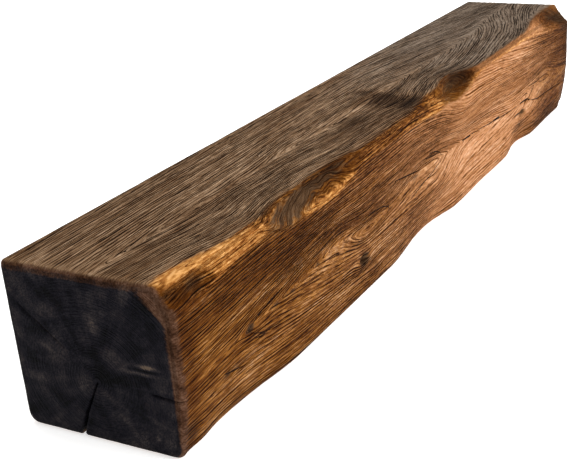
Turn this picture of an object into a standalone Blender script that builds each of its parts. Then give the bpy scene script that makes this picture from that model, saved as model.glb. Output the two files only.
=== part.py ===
"""Oak mantel beam: one squared oak timber with a hewn, waney front.

The beam lies along X with its near end at -X, its front face at -Y, its back
at +Y and its underside on Z = 0. The origin is the middle of the underside.

The body is a loft. One section function gives the outline at any station, and
the hewn chamfer on the top front arris and the hollows under the front are
smooth strokes added to that outline. Seasoning checks and the knot hole are
wedges cut out of the loft.
"""

import math

import bmesh
import bpy
from mathutils import Vector

# Overall sizes, in metres.
LENGTH = 1.067
DEPTH = 0.160
HEIGHT = 0.150

# Rounding of the long arrises and of the two sawn ends.
TOP_BACK_RADIUS = 0.005
BACK_FOOT_RADIUS = 0.011
FRONT_FOOT_RADIUS = 0.007
CHAMFER_EDGE_RADIUS = 0.005
END_RADIUS = 0.006

# The sawn ends lean a little: out at the top, and round towards the back.
NEAR_END_LEAN = 0.0043
NEAR_END_TURN = 0.0020
FAR_END_LEAN = 0.0008
FAR_END_TURN = 0.0025
LEAN_REACH = 0.060

# Front face: how far it swells forward at mid height and stands out at its foot.
FRONT_SWELL = 0.0006
FRONT_FOOT_OUT = 0.0002

# The chamfer before any stroke: its width on the top face, and its drop on the
# front face towards the near end and towards the far end.
CHAMFER_TOP = 0.0030
CHAMFER_DROP_NEAR = 0.0130
CHAMFER_DROP_FAR = 0.0055
DROP_CHANGE_AT = 0.585
DROP_CHANGE_REACH = 0.035

# Axe strokes along the chamfer. Each is centred at a share of the length and
# fades out over its reach towards the near end and towards the far end. It
# widens the chamfer on the top face, deepens its drop on the front face and
# hollows the facet between the two edges.
#   (share, reach near, reach far, widen top, deepen drop, hollow)
CHAMFER_STROKES = (
    (0.000, 0.100, 0.085, 0.0105, 0.0065, 0.0000),
    (0.062, 0.045, 0.040, 0.0025, 0.0055, 0.0010),
    (0.172, 0.045, 0.050, 0.0055, 0.0075, 0.0005),
    (0.238, 0.085, 0.090, 0.0085, 0.0095, 0.0015),
    (0.500, 0.070, 0.045, 0.0085, 0.0030, -0.0012),
    (0.578, 0.090, 0.065, 0.0165, 0.0080, 0.0000),
    (0.572, 0.066, 0.060, 0.0000, 0.0000, 0.0085),
    (0.960, 0.170, 0.120, 0.0210, 0.0000, 0.0005),
    (1.000, 0.240, 0.070, 0.0000, 0.0185, 0.0010),
)

# Hollows along the foot of the front face, where the wane was worked off.
#   (share, reach near, reach far, depth)
FOOT_HOLLOWS = (
    (0.000, 0.050, 0.040, 0.0062),
    (0.062, 0.080, 0.125, 0.0105),
    (0.473, 0.116, 0.085, 0.0100),
    (0.784, 0.065, 0.055, 0.0082),
    (1.000, 0.050, 0.060, 0.0080),
)
FOOT_HOLLOW_RISE = 0.075

# Seasoning checks in the near end. One opens from the heart of the tree down
# through the underside, and a short one lies towards the front face. Backs are
# measured from the front face and heights from the underside.
HEART_BACK = 0.0785
HEART_UP = 0.057
HEART_CHECK_FOOT_BACK = 0.104
HEART_CHECK_WIDTH = 0.0034
HEART_CHECK_DEPTH = 0.055
SIDE_CHECK_BACK = 0.008
SIDE_CHECK_UP = 0.0555
SIDE_CHECK_RUN = 0.0125
SIDE_CHECK_WIDTH = 0.0016
SIDE_CHECK_DEPTH = 0.012

# The long shake across the front face at the far end: where it starts and
# ends, its height at each end, its bow, its mouth width and its depth.
SHAKE_START = 0.574
SHAKE_END = 0.978
SHAKE_START_UP = 0.0755
SHAKE_END_UP = 0.038
SHAKE_BOW = 0.003
SHAKE_WIDTH = 0.0022
SHAKE_DEPTH = 0.009

# The open knot hole under the shake.
KNOT_HOLE_AT = 0.790
KNOT_HOLE_UP = 0.044
KNOT_HOLE_RADIUS = 0.0045
KNOT_HOLE_DEPTH = 0.010

# Spacing of the sections, and of the points round them and along the cracks.
STATION_STEP = 0.012
FRONT_ROWS = 7
FACET_ROWS = 4
ROUND_STEPS = 3
END_STEPS = 3
CHECK_STEPS = 4
SHAKE_STEPS = 12


def clear_scene():
    """Remove whatever objects the scene starts with."""
    for item in list(bpy.data.objects):
        bpy.data.objects.remove(item, do_unlink=True)


def stroke_weight(distance, reach_near, reach_far):
    """A stroke's strength: 1 at its centre, easing to 0 at its reach."""
    reach = reach_near if distance < 0.0 else reach_far
    share = min(abs(distance) / reach, 1.0)
    return (1.0 - share * share) ** 2


def ease(value):
    """Smooth step from 0 to 1."""
    value = max(0.0, min(1.0, value))
    return value * value * (3.0 - 2.0 * value)


def chamfer_at(along):
    """Width on top, drop on the front and hollow of the chamfer at a station."""
    change = (along - DROP_CHANGE_AT * LENGTH) / DROP_CHANGE_REACH
    top = CHAMFER_TOP
    drop = CHAMFER_DROP_NEAR + (CHAMFER_DROP_FAR - CHAMFER_DROP_NEAR) * ease(0.5 + 0.5 * change)
    hollow = 0.0
    for share, near, far, widen, deepen, scoop in CHAMFER_STROKES:
        weight = stroke_weight(along - share * LENGTH, near, far)
        top += widen * weight
        drop += deepen * weight
        hollow += scoop * weight
    return top, drop, hollow


def front_y(along, up):
    """The front face's Y at a station and a height."""
    share = up / HEIGHT
    y = -0.5 * DEPTH - FRONT_SWELL * math.sin(math.pi * share) - FRONT_FOOT_OUT * (1.0 - share)
    rise = max(0.0, 1.0 - up / FOOT_HOLLOW_RISE) ** 2
    for place, near, far, depth in FOOT_HOLLOWS:
        y += depth * rise * stroke_weight(along - place * LENGTH, near, far)
    return y


def rounded(corners, steps):
    """Round the corners that carry a radius; the others stay as single points."""
    ring = []
    count = len(corners)
    for index, (point, radius) in enumerate(corners):
        if radius <= 0.0:
            ring.append(point)
            continue
        before = corners[index - 1][0] - point
        after = corners[(index + 1) % count][0] - point
        half = 0.5 * before.angle(after)
        reach = min(radius / math.tan(half), 0.45 * before.length, 0.45 * after.length)
        start = point + before.normalized() * reach
        end = point + after.normalized() * reach
        for step in range(steps + 1):
            part = step / steps
            first = start.lerp(point, part)
            second = point.lerp(end, part)
            ring.append(first.lerp(second, part))
    return ring


def section(along):
    """The outline at a station, as (y, z) points going round from the back foot."""
    top, drop, hollow = chamfer_at(along)
    back = 0.5 * DEPTH
    edge_up = HEIGHT - drop
    upper = Vector((front_y(along, HEIGHT) + top, HEIGHT))
    lower = Vector((front_y(along, edge_up), edge_up))
    inward = Vector((upper.y - lower.y, lower.x - upper.x)).normalized()
    corners = [
        (Vector((back, 0.0)), BACK_FOOT_RADIUS),
        (Vector((back, HEIGHT)), TOP_BACK_RADIUS),
        (upper, CHAMFER_EDGE_RADIUS),
    ]
    for row in range(1, FACET_ROWS):
        part = row / FACET_ROWS
        bow = 4.0 * part * (1.0 - part) * hollow
        corners.append((upper.lerp(lower, part) + inward * bow, 0.0))
    corners.append((lower, CHAMFER_EDGE_RADIUS))
    for row in range(1, FRONT_ROWS):
        up = edge_up * (1.0 - row / FRONT_ROWS)
        corners.append((Vector((front_y(along, up), up)), 0.0))
    corners.append((Vector((front_y(along, 0.0), 0.0)), FRONT_FOOT_RADIUS))
    return rounded(corners, ROUND_STEPS)


def stations():
    """Stations along the beam with the inset of the outline at each."""
    turns = [0.5 * math.pi * step / END_STEPS for step in range(END_STEPS + 1)]
    near = [(END_RADIUS * (1.0 - math.cos(turn)), END_RADIUS * (1.0 - math.sin(turn)))
            for turn in turns]
    count = max(2, round((LENGTH - 2.0 * END_RADIUS) / STATION_STEP))
    step = (LENGTH - 2.0 * END_RADIUS) / count
    middle = [(END_RADIUS + step * index, 0.0) for index in range(1, count)]
    far = [(LENGTH - along, inset) for along, inset in reversed(near)]
    return near + middle + far


def lean(along, y, z):
    """How far a point near a sawn end moves along X because the cut leans."""
    near = ease(1.0 - along / LEAN_REACH)
    far = ease(1.0 - (LENGTH - along) / LEAN_REACH)
    up = z / HEIGHT - 0.5
    side = y / DEPTH
    return (far * (FAR_END_LEAN * up + FAR_END_TURN * side)
            - near * (NEAR_END_LEAN * up + NEAR_END_TURN * side))


def build_beam():
    """Loft the sections and cap both ends."""
    mesh = bpy.data.meshes.new("oak_beam")
    shape = bmesh.new()
    rings = []
    for along, inset in stations():
        ring = []
        for point in section(along):
            y = point.x * (1.0 - 2.0 * inset / DEPTH)
            z = inset + point.y * (1.0 - 2.0 * inset / HEIGHT)
            x = along - 0.5 * LENGTH + lean(along, y, z)
            ring.append(shape.verts.new((x, y, z)))
        rings.append(ring)
    size = len(rings[0])
    for first, second in zip(rings, rings[1:]):
        for index in range(size):
            other = (index + 1) % size
            shape.faces.new((first[index], first[other], second[other], second[index]))
    shape.faces.new(rings[0])
    shape.faces.new(list(reversed(rings[-1])))
    bmesh.ops.recalc_face_normals(shape, faces=shape.faces)
    shape.to_mesh(mesh)
    shape.free()
    return bpy.data.objects.new("oak_beam", mesh)


def wedge(name, path, widths, inward, across, depth):
    """A crack: a V along a path, open at the surface and closing to an edge.

    The mouth stands a little proud of the surface so that the cut is clean,
    and the V gets shallower where the crack gets narrower.
    """
    proud = 0.25 * depth
    widest = max(widths)
    mesh = bpy.data.meshes.new(name)
    shape = bmesh.new()
    rows = []
    for point, width in zip(path, widths):
        half = across * (0.625 * width)
        out = point - inward * proud
        rows.append((
            shape.verts.new(out - half),
            shape.verts.new(out + half),
            shape.verts.new(point + inward * (depth * width / widest)),
        ))
    for first, second in zip(rows, rows[1:]):
        for index in range(3):
            other = (index + 1) % 3
            shape.faces.new((first[index], first[other], second[other], second[index]))
    shape.faces.new(rows[0])
    shape.faces.new(list(reversed(rows[-1])))
    bmesh.ops.recalc_face_normals(shape, faces=shape.faces)
    shape.to_mesh(mesh)
    shape.free()
    return bpy.data.objects.new(name, mesh)


def knot_cutter(name):
    """A tapering peg for the open knot hole in the front face."""
    mesh = bpy.data.meshes.new(name)
    shape = bmesh.new()
    bmesh.ops.create_cone(shape, cap_ends=True, segments=10, radius1=KNOT_HOLE_RADIUS,
                          radius2=0.35 * KNOT_HOLE_RADIUS, depth=2.0 * KNOT_HOLE_DEPTH)
    shape.to_mesh(mesh)
    shape.free()
    peg = bpy.data.objects.new(name, mesh)
    along = KNOT_HOLE_AT * LENGTH
    peg.location = (along - 0.5 * LENGTH, front_y(along, KNOT_HOLE_UP), KNOT_HOLE_UP)
    peg.rotation_euler = (-0.5 * math.pi, 0.0, 0.0)
    return peg


def tapered(width, steps):
    """Widths along a crack that closes towards both of its ends."""
    shares = [abs(2.0 * step / steps - 1.0) for step in range(steps + 1)]
    return [width * max(0.15, 1.0 - share ** 3) for share in shares]


def end_point(back, up):
    """A point on the near end, from its distance behind the front and its height."""
    return Vector((-0.5 * LENGTH, back - 0.5 * DEPTH, up))


def check_cutters():
    """The wedges for every check and shake, and the peg for the knot hole."""
    along_beam = Vector((1.0, 0.0, 0.0))
    heart = end_point(HEART_BACK, HEART_UP)
    foot = end_point(HEART_CHECK_FOOT_BACK, -HEART_CHECK_WIDTH)
    heart_path = [heart.lerp(foot, step / CHECK_STEPS) for step in range(CHECK_STEPS + 1)]
    heart_widths = [HEART_CHECK_WIDTH * (0.2 + 0.8 * step / CHECK_STEPS)
                    for step in range(CHECK_STEPS + 1)]
    inner = end_point(SIDE_CHECK_BACK + SIDE_CHECK_RUN, SIDE_CHECK_UP)
    outer = end_point(SIDE_CHECK_BACK, SIDE_CHECK_UP - 0.1 * SIDE_CHECK_RUN)
    side_path = [inner.lerp(outer, step / CHECK_STEPS) for step in range(CHECK_STEPS + 1)]
    shake_path = []
    for step in range(SHAKE_STEPS + 1):
        part = step / SHAKE_STEPS
        along = LENGTH * (SHAKE_START + (SHAKE_END - SHAKE_START) * part)
        up = SHAKE_START_UP + (SHAKE_END_UP - SHAKE_START_UP) * part
        up += SHAKE_BOW * math.sin(math.pi * part)
        shake_path.append(Vector((along - 0.5 * LENGTH, front_y(along, up), up)))
    return [
        wedge("heart_check", heart_path, heart_widths, along_beam,
              (foot - heart).normalized().cross(along_beam), HEART_CHECK_DEPTH),
        wedge("side_check", side_path, tapered(SIDE_CHECK_WIDTH, CHECK_STEPS), along_beam,
              (outer - inner).normalized().cross(along_beam), SIDE_CHECK_DEPTH),
        wedge("front_shake", shake_path, tapered(SHAKE_WIDTH, SHAKE_STEPS),
              Vector((0.0, 1.0, 0.0)), Vector((0.0, 0.0, 1.0)), SHAKE_DEPTH),
        knot_cutter("knot_hole"),
    ]


def oak_material():
    """Dark oiled oak."""
    material = bpy.data.materials.new("oiled_oak")
    material.use_nodes = True
    shader = material.node_tree.nodes["Principled BSDF"]
    shader.inputs["Base Color"].default_value = (0.205, 0.088, 0.032, 1.0)
    shader.inputs["Roughness"].default_value = 0.55
    shader.inputs["Metallic"].default_value = 0.0
    return material


def main():
    clear_scene()
    beam_set = bpy.data.collections.new("oak_mantel_beam")
    cutter_set = bpy.data.collections.new("oak_mantel_beam_cutters")
    bpy.context.scene.collection.children.link(beam_set)
    bpy.context.scene.collection.children.link(cutter_set)

    beam = build_beam()
    beam.data.materials.append(oak_material())
    beam.data.shade_smooth()
    beam.data.set_sharp_from_angle(angle=math.radians(32.0))
    beam_set.objects.link(beam)

    for cutter in check_cutters():
        cutter.hide_render = True
        cutter.display_type = "WIRE"
        cutter_set.objects.link(cutter)
        cut = beam.modifiers.new(cutter.name, "BOOLEAN")
        cut.operation = "DIFFERENCE"
        cut.solver = "EXACT"
        cut.object = cutter


main()
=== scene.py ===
# %% [markdown]
# # An oak mantel beam
#
# The real object is one squared oak timber. Its top, back and ends are sawn, its
# front is left hewn and waney, and the whole beam is wire-brushed, stained and
# waxed. The solid model fixes its size and outline. This lesson gives it the
# surface: growth rings, brushed grain, knots, cracks and the stain.
#
# The imported solid is loaded first.

import math

import bpy
import numpy as np
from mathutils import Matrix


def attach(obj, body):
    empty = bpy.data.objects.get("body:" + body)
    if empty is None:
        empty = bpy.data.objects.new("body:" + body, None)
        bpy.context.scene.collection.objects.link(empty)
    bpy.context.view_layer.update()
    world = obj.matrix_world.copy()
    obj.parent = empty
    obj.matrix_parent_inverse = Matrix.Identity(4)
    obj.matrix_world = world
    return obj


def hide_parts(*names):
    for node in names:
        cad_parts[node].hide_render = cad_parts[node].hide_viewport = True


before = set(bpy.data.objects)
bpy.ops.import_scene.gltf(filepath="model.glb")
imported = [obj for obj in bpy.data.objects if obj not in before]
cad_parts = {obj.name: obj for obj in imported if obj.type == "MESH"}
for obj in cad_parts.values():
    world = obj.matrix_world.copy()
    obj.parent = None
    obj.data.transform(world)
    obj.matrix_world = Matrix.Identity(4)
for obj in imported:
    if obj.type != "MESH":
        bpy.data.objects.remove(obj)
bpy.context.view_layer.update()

# %% [markdown]
# ## The camera
#
# The photograph looks along the beam from just beyond its near end and above it.
# The place, the turn and the focal length come from fitting the beam's straight
# edges, so the camera needs no shift. The focal length is given in pixels of the
# 569 px wide picture and is turned into millimetres for a 36 mm sensor.

# %% Camera
IMAGE_WIDTH = 569
FOCAL_PIXELS = 1093.0
SENSOR_MM = 36.0

camera_data = bpy.data.cameras.new("photo_camera")
camera_data.sensor_fit = "HORIZONTAL"
camera_data.sensor_width = SENSOR_MM
camera_data.lens = FOCAL_PIXELS * SENSOR_MM / IMAGE_WIDTH
camera = bpy.data.objects.new("photo_camera", camera_data)
camera.location = (-1.1042, -0.5086, 0.4741)
camera.rotation_euler = (1.1883, 0.0638, -1.0724)
bpy.context.scene.collection.objects.link(camera)
bpy.context.scene.camera = camera
print("focal length", round(camera_data.lens, 2), "mm")

# %% [markdown]
# ## The outline of the timber
#
# These are the same sizes and the same smooth strokes as in the solid: a chamfer
# on the top front arris that the axe made wide in some places and narrow in
# others, and hollows along the foot of the front. A stroke is strongest at its
# centre and eases to nothing at its reach. Everything is worked out for all
# stations along the beam at once, as numpy arrays.

# %% Sizes and strokes
LENGTH = 1.067
DEPTH = 0.160
HEIGHT = 0.150

TOP_BACK_RADIUS = 0.005
BACK_FOOT_RADIUS = 0.011
FRONT_FOOT_RADIUS = 0.007
CHAMFER_EDGE_RADIUS = 0.005
END_RADIUS = 0.006

NEAR_END_LEAN = 0.0043
NEAR_END_TURN = 0.0020
FAR_END_LEAN = 0.0008
FAR_END_TURN = 0.0025
LEAN_REACH = 0.060

FRONT_SWELL = 0.0006
FRONT_FOOT_OUT = 0.0002

CHAMFER_TOP = 0.0030
CHAMFER_DROP_NEAR = 0.0130
CHAMFER_DROP_FAR = 0.0055
DROP_CHANGE_AT = 0.585
DROP_CHANGE_REACH = 0.035

# (share of the length, reach near, reach far, widen top, deepen drop, hollow)
CHAMFER_STROKES = (
    (0.000, 0.100, 0.085, 0.0105, 0.0065, 0.0000),
    (0.062, 0.045, 0.040, 0.0025, 0.0055, 0.0010),
    (0.172, 0.045, 0.050, 0.0055, 0.0075, 0.0005),
    (0.238, 0.085, 0.090, 0.0085, 0.0095, 0.0015),
    (0.500, 0.070, 0.045, 0.0085, 0.0030, -0.0012),
    (0.578, 0.090, 0.065, 0.0165, 0.0080, 0.0000),
    (0.572, 0.066, 0.060, 0.0000, 0.0000, 0.0085),
    (0.960, 0.170, 0.120, 0.0210, 0.0000, 0.0005),
    (1.000, 0.240, 0.070, 0.0000, 0.0185, 0.0010),
)

# (share of the length, reach near, reach far, depth)
FOOT_HOLLOWS = (
    (0.000, 0.050, 0.040, 0.0062),
    (0.062, 0.080, 0.125, 0.0105),
    (0.473, 0.116, 0.085, 0.0100),
    (0.784, 0.065, 0.055, 0.0082),
    (1.000, 0.050, 0.060, 0.0080),
)
FOOT_HOLLOW_RISE = 0.075


def stroke_weight(distance, reach_near, reach_far):
    """(1 - s squared) squared, with s the distance as a share of the reach, up to 1."""
    reach = np.where(distance < 0.0, reach_near, reach_far)
    share = np.minimum(np.abs(distance) / reach, 1.0)
    return (1.0 - share**2) ** 2


def ease(value):
    """Smooth step: 3 v squared - 2 v cubed, with v held between 0 and 1."""
    value = np.clip(value, 0.0, 1.0)
    return value * value * (3.0 - 2.0 * value)


def chamfer_at(along):
    """Width on the top, drop on the front and hollow: a base value plus every stroke."""
    change = ease(0.5 + 0.5 * (along - DROP_CHANGE_AT * LENGTH) / DROP_CHANGE_REACH)
    top = np.full_like(along, CHAMFER_TOP)
    drop = CHAMFER_DROP_NEAR + (CHAMFER_DROP_FAR - CHAMFER_DROP_NEAR) * change
    hollow = np.zeros_like(along)
    for share, near, far, widen, deepen, scoop in CHAMFER_STROKES:
        weight = stroke_weight(along - share * LENGTH, near, far)
        top = top + widen * weight
        drop = drop + deepen * weight
        hollow = hollow + scoop * weight
    return top, drop, hollow


def front_y(along, up):
    """Y of the front face: a plane with a slight swell, less the hollows near its foot."""
    share = up / HEIGHT
    y = -0.5 * DEPTH - FRONT_SWELL * np.sin(math.pi * share) - FRONT_FOOT_OUT * (1.0 - share)
    rise = np.maximum(0.0, 1.0 - up / FOOT_HOLLOW_RISE) ** 2
    for place, near, far, depth in FOOT_HOLLOWS:
        y = y + depth * rise * stroke_weight(along - place * LENGTH, near, far)
    return y


print("chamfer width at the near end", round(float(chamfer_at(np.array([0.0]))[0][0]) * 1000, 1), "mm")

# %% [markdown]
# ## A grid round the beam
#
# The outline at a station is eight runs of points: up the back, over the top,
# down the hewn facet, down the front and back underneath, with a rounded corner
# between each two. The faces that are seen get points every millimetre or so,
# because the grain runs along the beam and its ridges are narrow. The hidden
# back and underside need fewer. Rounded corners are quadratic Bezier curves.

# %% Outline as columns of points
POINTS = {
    "back": 44,
    "top": 118,
    "facet": 30,
    "front": 112,
    "under": 46,
    "corner": 7,
}
FACET_ROWS = 4
CHECK_BACK = 0.104


def straight(start, end, count):
    """start + (end - start) t, with t from 0 up to but not including 1."""
    part = np.arange(count) / count
    return start[0] + (end[0] - start[0]) * part, start[1] + (end[1] - start[1]) * part


def crowded(count, place, reach):
    """Shares from 0 up to 1, six times closer round a place: the density's sum, turned round."""
    share = np.linspace(0.0, 1.0, 400)
    total = np.cumsum(1.0 + 9.0 * np.exp(-(((share - place) / reach) ** 2)))
    total = (total - total[0]) / (total[-1] - total[0])
    return np.interp(np.arange(count) / count, total, share)


def corner(start, middle, end, count):
    """Quadratic Bezier: (1-t)^2 start + 2t(1-t) middle + t^2 end, t from 0 up to 1."""
    part = np.arange(count) / count
    weights = ((1.0 - part) ** 2, 2.0 * part * (1.0 - part), part**2)
    return tuple(weights[0] * start[axis] + weights[1] * middle[axis] + weights[2] * end[axis]
                 for axis in (0, 1))


def outline(along):
    """Points of the outline for a column of stations, going round from the back foot."""
    top, drop, hollow = chamfer_at(along)
    back = np.full_like(along, 0.5 * DEPTH)
    zero = np.zeros_like(along)
    high = np.full_like(along, HEIGHT)
    edge_up = HEIGHT - drop
    upper = (front_y(along, high) + top, high)
    lower = (front_y(along, edge_up), edge_up)
    run_y, run_z = lower[0] - upper[0], lower[1] - upper[1]
    run = np.hypot(run_y, run_z)
    inward = (-run_z / run, run_y / run)

    def facet(part):
        bow = 4.0 * part * (1.0 - part) * hollow
        return upper[0] + run_y * part + inward[0] * bow, upper[1] + run_z * part + inward[1] * bow

    limit = 0.45 * run / FACET_ROWS
    reach_upper = np.minimum(CHAMFER_EDGE_RADIUS / np.tan(0.5 * np.arccos(run_y / run)), limit)
    reach_lower = np.minimum(CHAMFER_EDGE_RADIUS / np.tan(0.5 * np.arccos(run_z / run)), limit)
    foot = FRONT_FOOT_RADIUS
    foot_corner = (front_y(along, zero), zero)
    facet_start, facet_end = reach_upper / run, 1.0 - reach_lower / run
    after_lower = (front_y(along, edge_up - reach_lower), edge_up - reach_lower)
    before_foot = (front_y(along, zero + foot), zero + foot)

    rounds = POINTS["corner"]
    runs = [
        corner((back - BACK_FOOT_RADIUS, zero), (back, zero), (back, zero + BACK_FOOT_RADIUS), rounds),
        straight((back, zero + BACK_FOOT_RADIUS), (back, high - TOP_BACK_RADIUS), POINTS["back"]),
        corner((back, high - TOP_BACK_RADIUS), (back, high), (back - TOP_BACK_RADIUS, high), rounds),
        straight((back - TOP_BACK_RADIUS, high), (upper[0] + reach_upper, high), POINTS["top"]),
        corner((upper[0] + reach_upper, high), upper, facet(facet_start), rounds),
    ]
    part = np.arange(POINTS["facet"]) / POINTS["facet"]
    runs.append(facet(facet_start + (facet_end - facet_start) * part))
    runs.append(corner(facet(facet_end), lower, after_lower, rounds))
    part = np.arange(POINTS["front"]) / POINTS["front"]
    up = after_lower[1] + (foot - after_lower[1]) * part
    runs.append((front_y(along + 0.0 * up, up), up))
    runs.append(corner(before_foot, foot_corner, (foot_corner[0] + foot, zero), rounds))
    flat = DEPTH - FRONT_FOOT_RADIUS - BACK_FOOT_RADIUS
    part = crowded(POINTS["under"], (CHECK_BACK - FRONT_FOOT_RADIUS) / flat, 0.03)
    under_start, under_end = foot_corner[0] + foot, back - BACK_FOOT_RADIUS
    runs.append((under_start + (under_end - under_start) * part, 0.0 * (along + part)))
    return np.hstack([item[0] for item in runs]), np.hstack([item[1] for item in runs])


columns = outline(np.array([[0.5]]))[0].shape[1]
print("columns round the beam", columns)


# %% [markdown]
# ## Stations along the beam
#
# The rows of the grid start at a pole in the middle of the near end, spread over
# the sawn face, roll round its worn arris, run along the beam and close at the
# far end in the same way. Rows stand closer near the end that is seen best. The
# pole of the near end is the heart of the tree, so the columns fan out from it
# as the rays and the drying checks do.

# %% Rows of the grid
NEAR_CAP_ROWS = 32
FAR_CAP_ROWS = 9
ROUND_ROWS = 7
BODY_ROWS = 203
HEART_BACK = 0.0785
HEART_UP = 0.057
SKIN = 0.0001

turn = np.linspace(0.0, 0.5 * math.pi, ROUND_ROWS)
round_along = END_RADIUS * (1.0 - np.cos(turn))
round_inset = END_RADIUS * (1.0 - np.sin(turn))
step = np.linspace(0.0, 1.0, BODY_ROWS + 2)[1:-1]
body_along = END_RADIUS + (LENGTH - 2.0 * END_RADIUS) * (0.76 * step + 0.24 * step**2)
near_shrink = np.arange(1, NEAR_CAP_ROWS + 1) / (NEAR_CAP_ROWS + 1.0)
far_shrink = np.arange(FAR_CAP_ROWS, 0, -1) / (FAR_CAP_ROWS + 1.0)

along = np.concatenate([0.0 * near_shrink, round_along, body_along,
                        LENGTH - round_along[::-1], LENGTH + 0.0 * far_shrink])[:, None]
inset = np.concatenate([END_RADIUS + 0.0 * near_shrink, round_inset, 0.0 * body_along,
                        round_inset[::-1], END_RADIUS + 0.0 * far_shrink])[:, None]
shrink = np.concatenate([near_shrink, 1.0 + 0.0 * round_along, 1.0 + 0.0 * body_along,
                         1.0 + 0.0 * round_along, far_shrink])[:, None]
rows = len(along)
print("rows", rows, "and", 2 * rows * columns, "triangles")


def lean(along, y, z):
    """How far a sawn end leans: its ease times (lean times height + turn times depth)."""
    up, side = z / HEIGHT - 0.5, y / DEPTH
    near = ease(1.0 - along / LEAN_REACH)
    far = ease(1.0 - (LENGTH - along) / LEAN_REACH)
    return (far * (FAR_END_LEAN * up + FAR_END_TURN * side)
            - near * (NEAR_END_LEAN * up + NEAR_END_TURN * side))


heart_y = -0.5 * DEPTH + HEART_BACK
side, up = outline(along)
side = side * (1.0 - 2.0 * inset / DEPTH)
up = inset + up * (1.0 - 2.0 * inset / HEIGHT)
side = heart_y + (side - heart_y) * shrink
up = HEART_UP + (up - HEART_UP) * shrink
x = along - 0.5 * LENGTH + lean(along, side, up)
u = along + 0.0 * x
behind = side + 0.5 * DEPTH

# %% [markdown]
# ## Which face a column lies on
#
# Each face of the real beam was cut and finished in its own way. The columns keep
# their order at every station, so counting them says which face a point lies on.
# A test on the point's place would be less sure where two faces are nearly flush.

# %% Where each face starts in the columns
RUN_ORDER = ("corner", "back", "corner", "top", "corner", "facet", "corner", "front", "corner", "under")
starts = np.concatenate([[0], np.cumsum([POINTS[name] for name in RUN_ORDER])])
FACET_START, FRONT_START, FOOT_START = (int(starts[index]) for index in (4, 7, 8))
column = np.arange(columns)[None, :] + 0.0 * u
over_facet = np.clip((column - FACET_START + 7) / (FRONT_START - FACET_START + 7), 0.0, 1.0)
print("the chamfer takes columns", FACET_START, "to", FRONT_START)

# %% [markdown]
# ## Smooth noise
#
# Wood is never quite regular. One small noise function gives slow, repeatable
# waves to the grain now, and to the relief later.

# %% Smooth noise in numpy


def value_noise(first, second, third, seed):
    """Noise from 0 to 1: random values at whole numbers, blended by v^2 (3 - 2v) each way."""
    table = np.random.default_rng(seed).random(4096)
    total = np.zeros_like(first)
    floors = [np.floor(value) for value in (first, second, third)]
    parts = [ease(value - low) for value, low in zip((first, second, third), floors)]
    whole = [low.astype(np.int64) for low in floors]
    for bits in range(8):
        steps = [(bits >> axis) & 1 for axis in range(3)]
        spot = ((whole[0] + steps[0]) * 73856093 ^ (whole[1] + steps[1]) * 19349663
                ^ (whole[2] + steps[2]) * 83492791) & 4095
        weight = np.ones_like(first)
        for part, one in zip(parts, steps):
            weight = weight * (part if one else 1.0 - part)
        total = total + weight * table[spot]
    return total


print("mean of the noise", round(float(value_noise(30.0 * u, 30.0 * side, 30.0 * up, 1).mean()), 2))

# %% [markdown]
# ## The wood inside
#
# Grain isn't painted on the beam: it comes out of the tree. Sawing a slightly
# crooked stem flat leaves a heart line on each face. The rings close in long V
# shapes along it and run side by side away from it. The field below is a
# distance across the grain: it grows with the distance from the face's heart
# line, dips or rises along the beam, and each knot parts the lines and pulls
# some of them round itself. A grain line is where the field keeps one value.

# %% Heart lines of the faces
# (along, place across the face), then (along, how deep the rings dip there)
FRONT_HEART = ((0.000, 0.060), (0.105, 0.068), (0.225, 0.076), (0.270, 0.079), (0.330, 0.068),
               (0.400, 0.070), (0.470, 0.081), (0.535, 0.079), (0.640, 0.074), (0.800, 0.062),
               (0.920, 0.074), (1.067, 0.060))
FRONT_DIP = ((0.000, 0.000), (0.095, 0.000), (0.300, 0.024), (0.345, 0.026), (0.450, 0.029),
             (0.525, 0.029), (0.605, 0.006), (0.900, 0.004), (1.067, 0.000))
TOP_HEART = ((0.000, 0.072), (0.190, 0.070), (0.330, 0.071), (0.400, 0.066), (0.500, 0.068),
             (0.820, 0.073), (0.880, 0.078), (0.930, 0.087), (1.067, 0.092))
TOP_DIP = ((0.000, 0.000), (0.420, 0.024), (0.560, 0.024), (0.700, 0.010), (1.067, 0.000))
FAR_RISE = ((0.000, 0.000), (0.600, 0.000), (0.740, 0.020), (1.067, 0.092))
DIP_REACH = 0.036
SHIFT_REACH = 0.026
KNEE = 0.0028
FACET_RISE = 0.9
RISE_REACH = 0.055

# Arches round a knot at the chamfer's lower edge: along, fall, stretch along, flat middle.
ARCHES = (0.250, 0.028, 2.6, 0.006)
ARCH_LEVEL = 0.050

# Below the scoop the lines of the front sink along the beam.
FRONT_SINK = ((0.000, 0.000), (0.455, 0.000), (0.545, 0.012), (0.620, 0.030), (1.067, 0.030))


def run_along(u, points, blur=31):
    """Straight lines between the points, then a running mean over blur millimetres."""
    fine = np.arange(-100, 1168) * 0.001
    level = np.interp(fine, *np.array(points).T)
    level = np.convolve(np.pad(level, blur // 2, "edge"), np.ones(blur) / blur, "valid")
    return np.interp(u, fine, level)


def near_heart(across, u, points):
    """Distance from the heart line. Its wander is felt as exp(-(distance / reach)^2) only."""
    line = run_along(u, points)
    wander = line - points[0][1]
    return across - points[0][1] - wander * np.exp(-(((across - line) / SHIFT_REACH) ** 2))


def from_heart(away, dip):
    """a^2 / (a + knee), which is flat at the heart line, less the dip times exp(-(a / reach)^2)."""
    away = np.abs(away)
    return away**2 / (away + KNEE) - dip * np.exp(-((away / DIP_REACH) ** 2))


print("deepest dip on the front", max(dip for place, dip in FRONT_DIP) * 1000, "mm")

# %% [markdown]
# ## Knots
#
# A knot is the foot of a branch. The rings of the stem bend round it, and its own
# wood is darker. Each one here is a soft bump that parts the grain and pulls some
# of it in, so the grain stays one unbroken field, as it is in the tree.

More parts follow.
